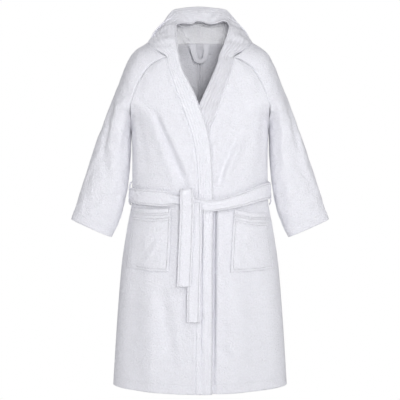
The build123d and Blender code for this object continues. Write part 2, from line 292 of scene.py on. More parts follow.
def back_y(x, h, margin=0.0):
    """Depth of the back's outer surface where it lies at (x, h)."""
    width, front, back, fullness = body_section(h)
    width = width + margin
    across = np.clip(np.abs(x) / width, 0, 1)
    share = (1 - across**fullness) ** (1 / fullness)
    moved = relief(x, h, BACK_FOLDS) + skirt_wave(x, h, 8) + puckers(x, h, 12, height=0.7)
    return (back + margin + moved * np.clip(share * 1.4, 0, 1)) * share


def side_x(h):
    """Half width of the side seam, and of the lower armhole above it."""
    width = body_section(h)[0]
    return np.minimum(width, np.where(np.asarray(h) < ARMHOLE_FOOT, width, ARMHOLE_HALF))


def raise_hem(grid):
    """The hem rides up a little towards the side seams."""
    grid[..., 2] += 9 * np.abs(grid[..., 0] / HEM_HALF) ** 1.6 * (1 - ramp(grid[..., 2], 0, 320))


def even_row(x_from, x_to, h, depth_of, shares):
    """A row of points between two places at one height, spaced by their distance along the cloth."""
    width, _, _, fullness = body_section(h)
    angle = [math.acos(np.clip(x / width, -1, 1)) for x in (x_from, x_to)]
    x = width * np.cos(np.linspace(angle[0], angle[1], 240))
    x[0], x[-1] = x_from, x_to
    y = depth_of(x, np.full_like(x, h))
    length = np.r_[0, np.cumsum(np.hypot(np.diff(x), np.diff(y)))]
    at = shares * length[-1]
    return np.stack([np.interp(at, length, x), np.interp(at, length, y), np.full_like(at, h)], axis=1)


def to_frame(points):
    """Garment millimetres to metres in the CAD frame."""
    return (np.asarray(points, float) - (0, HOOK_DEPTH, HOOK_HEIGHT)) / 1000


def unit(v):
    """Vectors made one long."""
    return v / np.maximum(np.linalg.norm(v, axis=-1, keepdims=True), 1e-9)


def slopes(points, wrap=False):
    """Differences of a grid of points down its rows and across its columns."""
    down = np.gradient(points, axis=0)
    if wrap:
        across = (np.roll(points, -1, axis=1) - np.roll(points, 1, axis=1)) / 2
    else:
        across = np.gradient(points, axis=1)
    return down, across


def normals(points, wrap=False, flip=False):
    """Unit normals of a grid of points."""
    down, across = slopes(points, wrap)
    n = unit(np.cross(down, across))
    return -n if flip else n


def shell(name, points, thick=CLOTH, wrap=False, flip=False, outside=0.0, stitch=None, edge=None):
    """A closed sheet of cloth on a grid of points, with rounded rims.

    Its outer face lies outside mm beyond the points. wrap joins the last column to the first, and flip turns
    the outer face to the other side. stitch and edge are distances in mm, where a finish lays its stitching."""
    rows, columns = points.shape[:2]
    n = normals(points, wrap, flip)
    outer = points + n * outside
    inner = outer - n * thick
    down, across = slopes(points, wrap)
    index = np.arange(rows * columns).reshape(rows, columns)
    if wrap:
        loops = [index[0], index[-1]]
    else:
        loops = [np.r_[index[0], index[1:, -1], index[-1, -2::-1], index[-2:0:-1, 0]]]

    # The rim's middle line bulges outwards between the two faces
    outwards = np.zeros_like(points)
    outwards[0] -= unit(down[0])
    outwards[-1] += unit(down[-1])
    if not wrap:
        outwards[:, 0] -= unit(across[:, 0])
        outwards[:, -1] += unit(across[:, -1])
    bulge = (outer + inner) / 2 + unit(outwards) * thick * 0.35
    bulge = bulge.reshape(-1, 3)
    rim = np.concatenate(loops)
    verts = np.concatenate([outer.reshape(-1, 3), inner.reshape(-1, 3), bulge[rim]])

    # Faces of the two sides, then of the rims
    size = rows * columns
    nxt = np.roll(index, -1, axis=1) if wrap else index[:, 1:]
    cur = index if wrap else index[:, :-1]
    quads = np.stack([cur[:-1], nxt[:-1], nxt[1:], cur[1:]], axis=-1).reshape(-1, 4)
    if not flip:
        quads = quads[:, ::-1]
    faces = [quads, quads[:, ::-1] + size]
    start = 2 * size
    for k, loop in enumerate(loops):
        mid = np.arange(len(loop)) + start
        start += len(loop)
        after, mid_after = np.roll(loop, -1), np.roll(mid, -1)
        upper = np.stack([loop, after, mid_after, mid], axis=1)
        lower = np.stack([mid, mid_after, after + size, loop + size], axis=1)
        turned = flip != (wrap and k == 1)
        for strip in (upper, lower):
            faces.append(strip[:, ::-1] if turned else strip)
    faces = np.concatenate(faces)

    mesh = bpy.data.meshes.new(name)
    mesh.vertices.add(len(verts))
    mesh.vertices.foreach_set("co", to_frame(verts).ravel())
    mesh.loops.add(faces.size)
    mesh.loops.foreach_set("vertex_index", faces.ravel().astype(np.int32))
    mesh.polygons.add(len(faces))
    mesh.polygons.foreach_set("loop_start", np.arange(0, faces.size, 4, dtype=np.int32))
    mesh.polygons.foreach_set("use_smooth", np.ones(len(faces), bool))
    mesh.update(calc_edges=True)
    mesh.validate()

    def spread(values):
        """Values at the grid's points, repeated for the inner face and the rim."""
        flat = np.broadcast_to(values, (rows, columns)).reshape(-1)
        return np.concatenate([flat, flat, flat[rim]])

    u = np.zeros((rows, columns))
    v = np.zeros((rows, columns))
    u[:, 1:] = np.cumsum(np.linalg.norm(np.diff(points, axis=1), axis=2), axis=1)
    v[1:] = np.cumsum(np.linalg.norm(np.diff(points, axis=0), axis=2), axis=0)
    u -= u[:, columns // 2][:, None]
    layer = mesh.uv_layers.new(name="cloth")
    uv = np.stack([spread(u), spread(v)], axis=1)[faces.ravel()] / 1000
    layer.data.foreach_set("uv", uv.ravel())
    for title, values in (("stitch", stitch), ("edge", edge)):
        if values is not None:
            attribute = mesh.attributes.new(title, "FLOAT", "POINT")
            attribute.data.foreach_set("value", (spread(values) / 1000).astype(np.float32))
    thing = bpy.data.objects.new(name, mesh)
    bpy.context.collection.objects.link(thing)
    return thing


def from_edges(points):
    """Distance of each grid point from the grid's first and last row and column, in mm."""
    u = np.zeros(points.shape[:2])
    v = np.zeros(points.shape[:2])
    u[:, 1:] = np.cumsum(np.linalg.norm(np.diff(points, axis=1), axis=2), axis=1)
    v[1:] = np.cumsum(np.linalg.norm(np.diff(points, axis=0), axis=2), axis=0)
    return v, v[-1:] - v, u, u[:, -1:] - u


def seam_relief(distance):
    """Lift of the cloth beside a felled seam: a groove at the seam and a padded ridge beside it."""
    return 1.5 * bump(distance, 6, 4.0) - 1.0 * bump(distance, 0, 2.0)


def terry(name, color, loops=430.0, depth=1.0, stitch_rows=(), edge_rows=(), line_strength=1.0):
    """Towelling with loops of pile, so many to a metre, soft unevenness, and rows of stitching sunk in dashed
    grooves, with painted shade darkening the grooves.

    The rows lie where a piece's stitch or edge distance has the given values, in mm."""
    material = bpy.data.materials.new(name)
    material.use_nodes = True
    nodes, links = material.node_tree.nodes, material.node_tree.links
    shader = nodes["Principled BSDF"]
    shader.inputs["Roughness"].default_value = 0.95
    shader.inputs["Sheen Weight"].default_value = 0.25
    shader.inputs["Sheen Roughness"].default_value = 0.6
    shader.inputs["Specular IOR Level"].default_value = 0.15
    place = nodes.new("ShaderNodeUVMap")
    place.uv_map = "cloth"

    def math_node(operation, a, b=None, clamp=False):
        node = nodes.new("ShaderNodeMath")
        node.operation = operation
        node.use_clamp = clamp
        for socket, value in zip(node.inputs, (a, b)):
            if value is None:
                continue
            if isinstance(value, (int, float)):
                socket.default_value = value
            else:
                links.new(value, socket)
        return node.outputs[0]

    def noise(scale, detail):
        node = nodes.new("ShaderNodeTexNoise")
        node.inputs["Scale"].default_value = scale
        node.inputs["Detail"].default_value = detail
        links.new(place.outputs["UV"], node.inputs["Vector"])
        return node.outputs["Fac"]

    cells = nodes.new("ShaderNodeTexVoronoi")
    cells.inputs["Scale"].default_value = loops
    links.new(place.outputs["UV"], cells.inputs["Vector"])
    pile = math_node("SUBTRACT", 1.0, cells.outputs["Distance"])
    tufts = noise(loops * 0.42, 3.0)
    soft = noise(loops * 0.08, 2.0)
    height = math_node("ADD", math_node("MULTIPLY", pile, 0.45), math_node("MULTIPLY", tufts, 1.5))
    height = math_node("ADD", height, math_node("MULTIPLY", soft, 0.6))

    groove = None
    for title, rows in (("stitch", stitch_rows), ("edge", edge_rows)):
        if not rows:
            continue
        distance = nodes.new("ShaderNodeAttribute")
        distance.attribute_name = title
        for row in rows:
            off = math_node("ABSOLUTE", math_node("SUBTRACT", distance.outputs["Fac"], row / 1000))
            line = math_node("SUBTRACT", 1.0, math_node("DIVIDE", off, 0.0016), clamp=True)
            groove = line if groove is None else math_node("MAXIMUM", groove, line)
    tone = math_node("MULTIPLY_ADD", tufts, 0.20)
    tone.node.inputs[2].default_value = 0.89
    tone_soft = math_node("MULTIPLY_ADD", soft, 0.05)
    tone_soft.node.inputs[2].default_value = 0.975
    tone = math_node("MULTIPLY", tone, tone_soft)
    if groove is not None:
        dashes = math_node("MULTIPLY_ADD", noise(300.0, 1.0), 0.6 * line_strength)
        dashes.node.inputs[2].default_value = 0.7 * line_strength
        groove_and_painted_shade = math_node("MULTIPLY", groove, dashes, clamp=True)
        height = math_node("SUBTRACT", height, math_node("MULTIPLY", groove_and_painted_shade, 0.8))
        # Painted shade: the dashed stitch grooves are darkened in colour as well as sunk in the bump.
        tone = math_node("SUBTRACT", tone, math_node("MULTIPLY", groove_and_painted_shade, 0.04))
    scaled = nodes.new("ShaderNodeVectorMath")
    scaled.operation = "SCALE"
    scaled.inputs[0].default_value = color
    links.new(tone, scaled.inputs["Scale"])
    links.new(scaled.outputs[0], shader.inputs["Base Color"])
    bump_node = nodes.new("ShaderNodeBump")
    bump_node.inputs["Strength"].default_value = 0.8
    bump_node.inputs["Distance"].default_value = 0.0036 * depth
    links.new(height, bump_node.inputs["Height"])
    links.new(bump_node.outputs["Normal"], shader.inputs["Normal"])
    return material


WHITE = (0.85, 0.85, 0.90)
# Painted light: the hood lining is the robe's same terry, given a lighter white to stand in for light in the
# hood's shade.
PAINTED_LIGHT_LINING_WHITE = (0.96, 0.96, 0.99)

# Rows of stitching, in mm from the hem, the cuff and the pocket's mouth
HEM_ROWS = (28.0,)
CUFF_ROWS = (25.0,)
POCKET_HEM_ROWS = (13.0, 19.0, 30.0, 38.0)

panel_terry = terry("panel_terry", WHITE, stitch_rows=HEM_ROWS, line_strength=0.4)
sleeve_terry = terry("sleeve_terry", WHITE, stitch_rows=CUFF_ROWS, line_strength=0.4)
# The lining's terry carries the painted light of its lighter white.
painted_light_lining_terry = terry("painted_light_lining_terry", PAINTED_LIGHT_LINING_WHITE, edge_rows=(7.0,), line_strength=0.6)
hood_terry = terry("hood_terry", WHITE, edge_rows=(7.0,))
pocket_terry = terry(
    "pocket_terry", WHITE, stitch_rows=POCKET_HEM_ROWS, edge_rows=(9.0,), line_strength=0.75
)
band_terry = terry("band_terry", WHITE, depth=0.8, edge_rows=(2.0,))
belt_terry = terry("belt_terry", WHITE, depth=0.8, edge_rows=(6.0,))
tape = terry("tape", WHITE, loops=800.0, depth=0.4, edge_rows=(2.5,))


def dress(thing, material):
    """Give a finished piece its material and slot."""
    thing.data.materials.append(material)
    return thing


def front_panel(name, side, lap):
    """One front, from its side seam to its band and from the hem to the raglan seam."""
    heights = FRONT_TOP * (np.linspace(0, 1, PANEL_ROWS) ** 0.97)
    shares = crowded(FRONT_COLUMNS)

    def depth_of(x, h):
        return front_y(x, h, lap)

    rows = []
    for h in heights:
        outer = float(side_x(h)) if h < ARMPIT else float(half_width(RAGLAN_FRONT, h))
        inner = float(half_width(BAND_SEAM, h))
        rows.append(even_row(-side * outer, -side * inner, h, depth_of, shares))
    grid = np.array(rows)
    _, _, outer, inner = from_edges(grid)
    n = normals(grid, flip=side > 0)
    seam = np.minimum(inner, np.where(grid[..., 2] > UNDERARM, outer, NO_SEAM))
    grid = grid + n * seam_relief(seam)[..., None]
    from_hem = grid[..., 2].copy()
    raise_hem(grid)
    return dress(shell(name, grid, flip=side > 0, stitch=from_hem), panel_terry)


def back_panel():
    """The back, from side seam to side seam and from the hem to the neck."""
    heights = BACK_TOP * np.linspace(0, 1, PANEL_ROWS)
    shares = crowded(BACK_COLUMNS, 0.5)
    raglan_top = RAGLAN_BACK[-1][0]
    rows = []
    for h in heights:
        outer = float(side_x(h)) if h < ARMPIT else float(half_width(RAGLAN_BACK, min(h, raglan_top)))
        rows.append(even_row(outer, -outer, h, back_y, shares))
    grid = np.array(rows)
    rise = ramp(grid[..., 2], 1040, BACK_TOP) * 8 * np.clip(1 - (grid[..., 0] / 100) ** 2, 0, 1)
    grid[..., 2] += rise
    _, _, right, left = from_edges(grid)
    seam = np.where(grid[..., 2] > UNDERARM, np.minimum(right, left), NO_SEAM)
    grid = grid + normals(grid, flip=True) * seam_relief(seam)[..., None]
    from_hem = grid[..., 2].copy()
    raise_hem(grid)
    return dress(shell("back_cloth", grid, flip=True, stitch=from_hem), panel_terry)


def sleeve_sections(lap):
    """Sections of the wearer's right sleeve from the neck to the cuff.

    A row is the front edge (x, h), outer point (x, h) and back edge (x, h), then the front depth, the back
    depth, and how many degrees round it goes each way: 90 ends on the edges and 180 closes the section."""
    head = [
        ((-106, 1064), (-166, 1126), (-104, 1119)),
        ((-134, 1052), (-197, 1109), (-133, 1080)),
        ((-161, 1035), (-222, 1086), (-164, 1037)),
        ((-186, 1000), (-240, 1054), (-188, 995)),
        ((-206, 960), (-256, 1014), (-207, 955)),
        ((-221, 917), (-271, 975), (-222, 917)),
    ]
    rows = []
    for front, outer, back in head:
        front_depth = -float(front_y(np.array(front[0]), np.array(float(front[1])), lap))
        back_depth = float(back_y(np.array(back[0]), np.array(float(back[1]))))
        rows.append((*front, *outer, *back, front_depth, back_depth, 90))
    # Inner point, outer point, depth, degrees
    tube = [
        ((-211, 874), (-286, 936), 94, 130),
        ((-224, 842), (-305, 885), 82, 178),
        ((-225, 805), (-321, 842), 76, 180),
        ((-227, 752), (-338, 799), 68, 180),
        ((-235, 665), (-364, 722), 57, 180),
        ((-252, 578), (-391, 640), 47, 180),
        ((-269, 530), (-405, 594), 42, 180),
        ((-290, 489), (-421, 547), 37, 180),
    ]
    for inner, outer, depth, reach in tube:
        middle = ((inner[0] + outer[0]) / 2, (inner[1] + outer[1]) / 2)
        rows.append((*middle, *outer, *middle, depth, depth, reach))
    return np.array(rows, float)


SLEEVE_FOLDS = [  # share down the sleeve, angle round it, length, half width in degrees, height
    (0.52, -60, 0.30, 13, -7),
    (0.56, -25, 0.28, 12, 5),
    (0.50, -110, 0.26, 14, 5),
    (0.66, -88, 0.16, 15, -5),
    (0.78, -45, 0.16, 14, -4),
    (0.80, -120, 0.14, 14, 4),
    (0.50, 60, 0.30, 14, -6),
    (0.60, 110, 0.26, 14, 5),
    (0.72, 80, 0.20, 13, -5),
]


def sleeve(name, side, lap, seed):
    """A raglan sleeve in one piece, closed by its underarm seam, from the neck to the turned cuff."""
    sections = sleeve_sections(lap)
    middle = (sections[:, 0:2] + sections[:, 4:6]) / 2
    reach = np.stack([(sections[:, 2] + middle[:, 0]) / 2, (sections[:, 3] + middle[:, 1]) / 2], axis=1)
    keys = np.r_[0, np.cumsum(np.linalg.norm(np.diff(reach, axis=0), axis=1))]
    at = np.linspace(0, keys[-1], SLEEVE_GRID[0])
    s = through(keys, sections, at)
    down = (at / keys[-1])[:, None]
    turn = np.radians(np.linspace(-1, 1, SLEEVE_GRID[1])[None, :] * s[:, 8][:, None])
    centre = np.stack([(s[:, 0] + s[:, 4]) / 2, (s[:, 1] + s[:, 5]) / 2], axis=1)
    front = s[:, 0:2] - centre
    back = s[:, 4:6] - centre
    outer = s[:, 2:4] - centre
    cos, sin = np.cos(turn), np.sin(turn)
    swing = np.abs(sin)
    edge_x = np.where(sin < 0, front[:, :1], back[:, :1])
    edge_h = np.where(sin < 0, front[:, 1:], back[:, 1:])
    x = centre[:, :1] + outer[:, :1] * cos + edge_x * swing
    h = centre[:, 1:] + outer[:, 1:] * cos + edge_h * swing
    y = np.where(sin < 0, s[:, 6:7] * sin, s[:, 7:8] * sin)
    grid = np.stack([x * side, y, h], axis=2)
    degrees = np.degrees(turn)
    lift = np.zeros(x.shape)
    rng = np.random.default_rng(seed)
    for share, angle, length, width, height in SLEEVE_FOLDS:
        share, angle = share + rng.uniform(-0.04, 0.04), angle + rng.uniform(-14, 14)
        drift = (down - share) / length * 22 * rng.choice([-1, 1])
        lift += height * bump(down, share, length * 0.6) * bump(degrees, angle + drift, width)
    lift += puckers(degrees * 1.4 + 7 * side, down * 700, seed, size=46, height=1.0)
    lift *= 1 - 0.65 * bump(degrees, 0, 42)
    from_neck, from_cuff, first, last = from_edges(grid)
    seam = np.minimum(np.minimum(first, last), from_neck)
    on_head = s[:, 8:9] < 179  # where the section isn't closed yet
    loose = ramp(np.where(on_head, seam, 60), 6, 50) * ramp(from_cuff, 0, 40)
    hem = 1.0 - ramp(from_cuff, 26, 30)
    for raised in (lift * loose, seam_relief(np.where(on_head, seam, NO_SEAM)), hem):
        grid = grid + normals(grid, flip=side > 0) * raised[..., None]
    return dress(shell(name, grid, flip=side > 0, stitch=from_cuff), sleeve_terry)


def on_front(x, h, lap):
    """The point of a front's outer surface at (x, h)."""
    return (x, float(front_y(np.array(float(x)), np.array(float(h)), lap)), h)


# Rulings of the band: height of its seam, and of its free edge, on each front
BAND_RULINGS = [(0, 0), (150, 150), (300, 300), (450, 450), (560, 560), (625, 625), (703, 706), (788, 798)]
BAND_RULINGS += [(840, 852), (889, 905), (930, 944), (968, 980), (1010, 1020), (1044, 1052)]

# Rulings round the hood, from the wearer's right to left: seam (x, y, h), free edge (x, y, h)
HOOD_RULINGS = [
    ((-107, -92, 1064), (-69, -97, 1076)),
    ((-140, -79, 1088), (-72, -86, 1100)),
    ((-160, -50, 1109), (-75, -70, 1126)),
    ((-169, -15, 1126), (-77, -52, 1150)),
    ((-159, 8, 1142), (-79, -36, 1172)),
    ((-144, 26, 1168), (-74, -18, 1184)),
    ((-122, 41, 1200), (-62, -3, 1189)),
    ((-103, 49, 1229), (-47, 6, 1193)),
    ((-90, 51, 1242), (-32, 12, 1192)),
    ((-50, 50, 1250), (-16, 14, 1196)),
    ((0, 49, 1253), (2, 15, 1198)),
    ((48, 50, 1249), (18, 14, 1195)),
    ((88, 51, 1242), (38, 11, 1190)),
    ((101, 49, 1229), (58, 4, 1193)),
    ((123, 41, 1200), (77, -4, 1197)),
    ((144, 27, 1168), (91, -16, 1190)),
    ((159, 8, 1143), (96, -32, 1178)),
    ((169, -15, 1126), (93, -50, 1155)),
    ((160, -48, 1109), (85, -64, 1128)),
    ((140, -73, 1088), (75, -75, 1104)),
    ((107, -84, 1064), (61, -88, 1066)),
]
QUILT_RIDGES = 5
QUILTED_SHARE = 0.82  # of the band's width, from its seam
BAND_WIDTH = 60.0
BAND_CLOTH = 5.0


def band_strip():
    """The quilted band: one strip from hem to hem, up one front, round the hood and down the other."""

    def front_ruling(way, edge, lap, seam_h, free_h):
        seam_x = way * half_width(BAND_SEAM, seam_h)
        return (*on_front(seam_x, seam_h, lap), *on_front(half_width(edge, free_h), free_h, lap))

    rulings = [front_ruling(-1, FREE_EDGE, LAP, *heights) for heights in BAND_RULINGS]
    rulings += [(*seam, *free) for seam, free in HOOD_RULINGS]
    rulings += [front_ruling(1, UNDER_EDGE, 0, *heights) for heights in BAND_RULINGS[::-1]]
    rulings = np.array(rulings, float)
    middle = (rulings[:, :3] + rulings[:, 3:]) / 2
    keys = np.r_[0, np.cumsum(np.linalg.norm(np.diff(middle, axis=0), axis=1))]
    rows = through(keys, rulings, np.linspace(0, keys[-1], BAND_GRID[0]), tight=False)
    across = np.linspace(0, 1, BAND_GRID[1])
    grid = rows[:, None, :3] * (1 - across)[None, :, None] + rows[:, None, 3:] * across[None, :, None]
    x, y, h = grid[..., 0], grid[..., 1], grid[..., 2]
    lap = np.where(np.arange(len(rows)) < len(rows) / 2, LAP, 0.0)[:, None]
    on_body = 1 - ramp(h, 1000, 1062)
    grid[..., 1] = y * (1 - on_body) + front_y(x, np.minimum(h, 1080), lap) * on_body
    n = normals(grid, flip=True)
    high = ramp(h, 1060, 1130)
    w = across[None, :]
    quilted = ramp(w, 0.0, 0.04) * (1 - ramp(w, 0.80, 0.84))
    ridges = 1.5 * np.abs(np.sin(math.pi * QUILT_RIDGES * np.clip(w / QUILTED_SHARE, 0, 1))) * quilted
    roll = np.sin(math.pi * w) * (1.0 + 5 * high)
    place = np.arange(len(rows))[:, None] * keys[-1] / len(rows)
    ripple = 2.0 * np.sin(place / 11.0 + 4 * w) + 1.6 * np.sin(place / 6.3 + 1.0)
    wobble = high * ripple * np.sin(math.pi * w) ** 0.7
    lift = ridges + roll + wobble - 1.4 * bump(w * BAND_WIDTH, 0, 2.5) * (1 - high)
    grid = grid + n * lift[..., None]
    grid[..., 2] -= high * 1.6 * np.sin(place / 17.0) * w**2
    from_free_edge = (1 - w) * BAND_WIDTH
    thing = shell("band_strip", grid, thick=BAND_CLOTH, flip=True, edge=from_free_edge)
    return dress(thing, band_terry)


# The hood's standing wall: height, half width and depth at its front rail, depth at the back
STAND = [
    (1124, 158, -2, 62),
    (1142, 153, 15, 72),
    (1168, 139, 30, 78),
    (1200, 116, 44, 82),
    (1228, 98, 52, 80),
    (1240, 74, 54, 76),
    (1248, 36, 56, 68),
]
STAND_FULLNESS = 2.3


def hood_lining():
    """The wall of the hood behind the face opening, with its centre seam and a soft fold."""
    table = np.array(STAND, float)
    levels = np.linspace(table[0, 0], table[-1, 0], LINING_GRID[0])
    s = through(table[:, 0], table[:, 1:], levels)
    h = levels[:, None]
    turn = np.radians(crowded(LINING_GRID[1], -0.6) * 180 - 90)[None, :]
    sin, cos = np.sin(turn), np.cos(turn)
    power = 2 / STAND_FULLNESS
    x = s[:, 0:1] * np.sign(sin) * np.abs(sin) ** power
    y = s[:, 1:2] + (s[:, 2:3] - s[:, 1:2]) * np.abs(cos) ** power
    rise = 8 * (1 - ramp(h, 1124, 1160)) * np.clip(1 - (x / 100) ** 2, 0, 1)
    grid = np.stack([x, y, h + rise], axis=2)
    slant = x + 0.55 * (h - 1160)
    fold = 5 * bump(slant, -62, 7) - 5 * bump(slant, -48, 7)
    fold += 3 * bump(x - 0.3 * (h - 1160), 66, 9)
    seam = 1.0 * bump(np.abs(x), 6, 3) - 1.6 * bump(x, 0, 2.2)
    inside = fold + puckers(x, h, 31, size=40, height=0.8) + seam
    grid[..., 1] -= inside * (1 - ramp(np.abs(sin), 0.9, 1.0))
    return dress(shell("hood_lining", grid, edge=np.abs(x)), painted_light_lining_terry)


# Arches of the hood from its rail back and down, and up again inside: middle (y, h) of the arch's feet,
# half width, the rise from the feet to the crest (y, h), and fullness
ARCHES = [
    (-10, 1126, 164, 57, 124, 1.66),
    (14, 1121, 163, 54, 125, 1.7),
    (42, 1112, 158, 50, 124, 1.8),
    (72, 1096, 151, 54, 110, 1.95),
    (92, 1066, 146, 68, 78, 2.2),
    (104, 1030, 137, 68, 34, 2.3),
    (113, 992, 113, 58, -6, 2.3),
    (121, 962, 78, 38, -18, 2.3),
    (124, 948, 50, 14, -14, 2.3),
    (116, 958, 62, -2, -8, 2.3),
    (104, 990, 100, -4, 2, 2.3),
    (96, 1040, 128, -4, 12, 2.3),
    (91, 1090, 138, -4, 18, 2.3),
]


def hood_half(name, side):
    """Half of the hanging hood, sewn to the other half along the centre."""
    table = np.array(ARCHES, float)
    crest = table[:, :2] + table[:, 3:5] * 0.9
    keys = np.r_[0, np.cumsum(np.linalg.norm(np.diff(crest, axis=0), axis=1))]
    a = through(keys, table, np.linspace(0, keys[-1], HOOD_GRID[0]), tight=False)
    down = np.linspace(0, 1, HOOD_GRID[0])[:, None]
    turn = np.radians(np.linspace(0, 90, HOOD_GRID[1]))[None, :]
    power = 2 / a[:, 5:6]
    cos, sin = np.cos(turn) ** power, np.sin(turn) ** power
    x = a[:, 2:3] * cos
    y = a[:, 0:1] + a[:, 3:4] * sin
    h = a[:, 1:2] + a[:, 4:5] * sin
    grid = np.stack([-side * x, y, h], axis=2)
    flip = side > 0
    n = normals(grid, flip=flip)
    level = h - 0.12 * x
    lift = 4.5 * bump(x + 0.25 * (h - 1050), 70, 12) - 4 * bump(x + 0.3 * (h - 1050), 98, 12)
    lift += -4 * bump(level, 1168, 8) + 3 * bump(level, 1150, 9)
    lift += puckers(x, h, 41 + side, size=44, height=1.0)
    lift *= ramp(down, 0.06, 0.25) * (1 - ramp(down, 0.72, 0.8)) * ramp(x, 4, 30)
    seam = 1.8 * bump(x, 7, 3.5) - 1.8 * bump(x, 0, 2.5)
    grid = grid + n * (lift + seam)[..., None]
    return dress(shell(name, grid, flip=flip, edge=x), hood_terry)


# Each pocket's side, how far its front stands out, and its corners (x, h): inner top, outer top, inner foot
# and outer foot
POCKETS = {
    "right": (1, LAP, (-91, 583), (-216, 585), (-99, 384), (-238, 391)),
    "left": (-1, 0.0, (109, 579), (217, 566), (97, 383), (240, 388)),
}


def patch_pocket(name, side, lap, top_in, top_out, foot_in, foot_out, seed):
    """A pocket that stands off its front, sewn down at the sides and the foot."""
    u = crowded(POCKET_GRID[1])[None, :]
    v = crowded(POCKET_GRID[0])[:, None]
    corners = [np.array(c, float) for c in (foot_in, foot_out, top_in, top_out)]
    foot = corners[0] * (1 - u[..., None]) + corners[1] * u[..., None]
    top = corners[2] * (1 - u[..., None]) + corners[3] * u[..., None]
    flat = foot * (1 - v[..., None]) + top * v[..., None]
    x, h = flat[..., 0], flat[..., 1]
    h = h - 5 * np.sin(math.pi * u) * v**2 - 2.0 * np.sin(math.pi * u * 1.2) * (1 - v) ** 2
    x = x + 2.0 * side * np.sin(math.pi * v)
    stand = np.sin(math.pi * np.clip(u, 0, 1)) ** 0.7 * (1 - (1 - v) ** 2) ** 0.5
    lift = 1.0 + CLOTH + stand * (5 + 3 * v)
    slant = x * side - 0.75 * (h - 460)
    fold = 2.0 * bump(slant, -140, 12) - 1.6 * bump(slant, -160, 9)
    fold += -1.8 * bump(x * side - 0.4 * (h - 480), -122, 9) + puckers(x, h, seed, size=40, height=0.7)
    lift = lift + fold * np.sin(math.pi * u) * np.sin(math.pi * v) ** 0.5
    hem = 1.0 * bump((1 - v) * 200, 24, 16)
    y = front_y(x, h, lap) - (lift + hem)
    grid = np.stack([x, y, h], axis=2)
    below, above, inner, outer = from_edges(grid)  # the grid's first row is the pocket's foot
    edge = np.minimum(np.minimum(inner, outer), below)
    grid[..., 1] -= 1.6 * bump(edge, 5, 3.6) - 0.5 * bump(edge, 10, 2.4)
    for row in POCKET_HEM_ROWS:
        grid[..., 1] += 0.9 * bump(above, row, 2.0)
    return dress(shell(name, grid, flip=side < 0, stitch=above, edge=edge), pocket_terry)


# Upper and lower edge of the belt: height at each x across
BELT_TOP = [(-240, 652), (-201, 645), (-130, 640), (-66, 634), (-13, 617), (39, 610), (103, 623)]
BELT_TOP += [(208, 662), (240, 670)]
BELT_FOOT = [(-240, 604), (-191, 595), (-130, 589), (-66, 584), (-13, 575), (16, 572), (103, 583)]
BELT_FOOT += [(214, 611), (240, 617)]
BELT_OFF = 1.0 + STRAP  # how far the belt's outer face lies off the robe
BELT_WIDTH = 46.0


def belt_strap():
    """The belt round the waist, held in at the knot."""
    angle = np.linspace(0, 2 * math.pi, BELT_GRID[1], endpoint=False)
    w = np.linspace(0, 1, BELT_GRID[0])[:, None]
    width, front, back, fullness = (float(v) for v in body_section(np.array(BELT_HEIGHT)))
    width = width + BELT_OFF
    cos, sin = np.cos(angle), np.sin(angle)
    x = np.broadcast_to(width * np.sign(cos) * np.abs(cos) ** (2 / fullness), BELT_GRID)
    table_top, table_foot = np.array(BELT_TOP, float), np.array(BELT_FOOT, float)
    top = through(table_top[:, 0], table_top[:, 1], x)
    foot = through(table_foot[:, 0], table_foot[:, 1], x)
    in_front = (sin < 0)[None, :]
    pinch = bump(x, -72, 26) * in_front * 0.22  # the knot gathers the belt
    h = foot + (top - foot) * (pinch + (1 - 2 * pinch) * w)
    on_body = np.clip(x, -221, 221)
    y = np.where(in_front, front_y(on_body, h, LAP, BELT_OFF), back_y(on_body, h, BELT_OFF))
    edge_on = ramp(np.abs(x), 214, 227)  # where the body's own depth falls off too fast to follow
    depth = np.where(in_front, -(front + LAP + BELT_OFF), back + BELT_OFF)
    y_round = depth * np.abs(sin) ** (2 / fullness)
    y = y * (1 - edge_on) + y_round * edge_on
    body_width = body_section(h)[0] + BELT_OFF
    x = np.where(edge_on > 0, x * (1 + edge_on * (body_width / width - 1)), x)
    grid = np.stack([x, y, h], axis=2)
    n = normals(grid, wrap=True)
    near = ramp(x, -22, 0) * (1 - ramp(x, 60, 150)) * in_front
    fold = -2.2 * bump(w, 0.62, 0.09) * near + 1.2 * bump(w, 0.82, 0.12) * near
    gather = bump(x, -70, 24) * in_front * (1.5 * np.sin(w * 15) + 1.0 * np.sin(w * 9 + x / 9))
    edges = np.minimum(w, 1 - w) * BELT_WIDTH
    lift = fold + gather + 0.9 * bump(edges, 3, 2.6) - 0.4 * bump(edges, 7, 1.8)
    lift = lift + puckers(x + 3 * y, h, 51, size=30, height=0.5)
    grid = grid + n * lift[..., None]
    thing = shell("belt_strap", grid, thick=STRAP, wrap=True, edge=edges)
    return dress(thing, belt_terry)


def strap_sheet(name, centre_line, widths, seed, thick=STRAP, flip=False, size=(150, 26), lean=(1, 0, 0)):
    """A strap along a centre line, lying across the way it leans, with stitched edges."""
    rows, columns = size
    line = along(centre_line, rows)
    share = np.linspace(0, 1, rows)
    width = np.interp(share, np.linspace(0, 1, len(widths)), widths)
    across = np.linspace(-0.5, 0.5, columns)
    lean = np.array(lean, float)
    grid = line[:, None, :] + (across[None, :, None] * width[:, None, None]) * lean
    edges = (0.5 - np.abs(across))[None, :] * width[:, None]
    n = normals(grid, flip=flip)
    rng = np.random.default_rng(seed)
    down = share[:, None]
    soft = 0.9 * np.sin(down * rng.uniform(14, 20) + across * 3) + 0.8 * np.sin(down * 31 + across * 7)
    lift = soft * ramp(down, 0, 0.15) * (1 - ramp(down, 0.85, 1.0))
    lift = lift + 0.8 * bump(edges, 3, 2.6) - 0.4 * bump(edges, 7, 1.8)
    return shell(name, grid + n * lift[..., None], thick=thick, flip=flip, edge=edges)


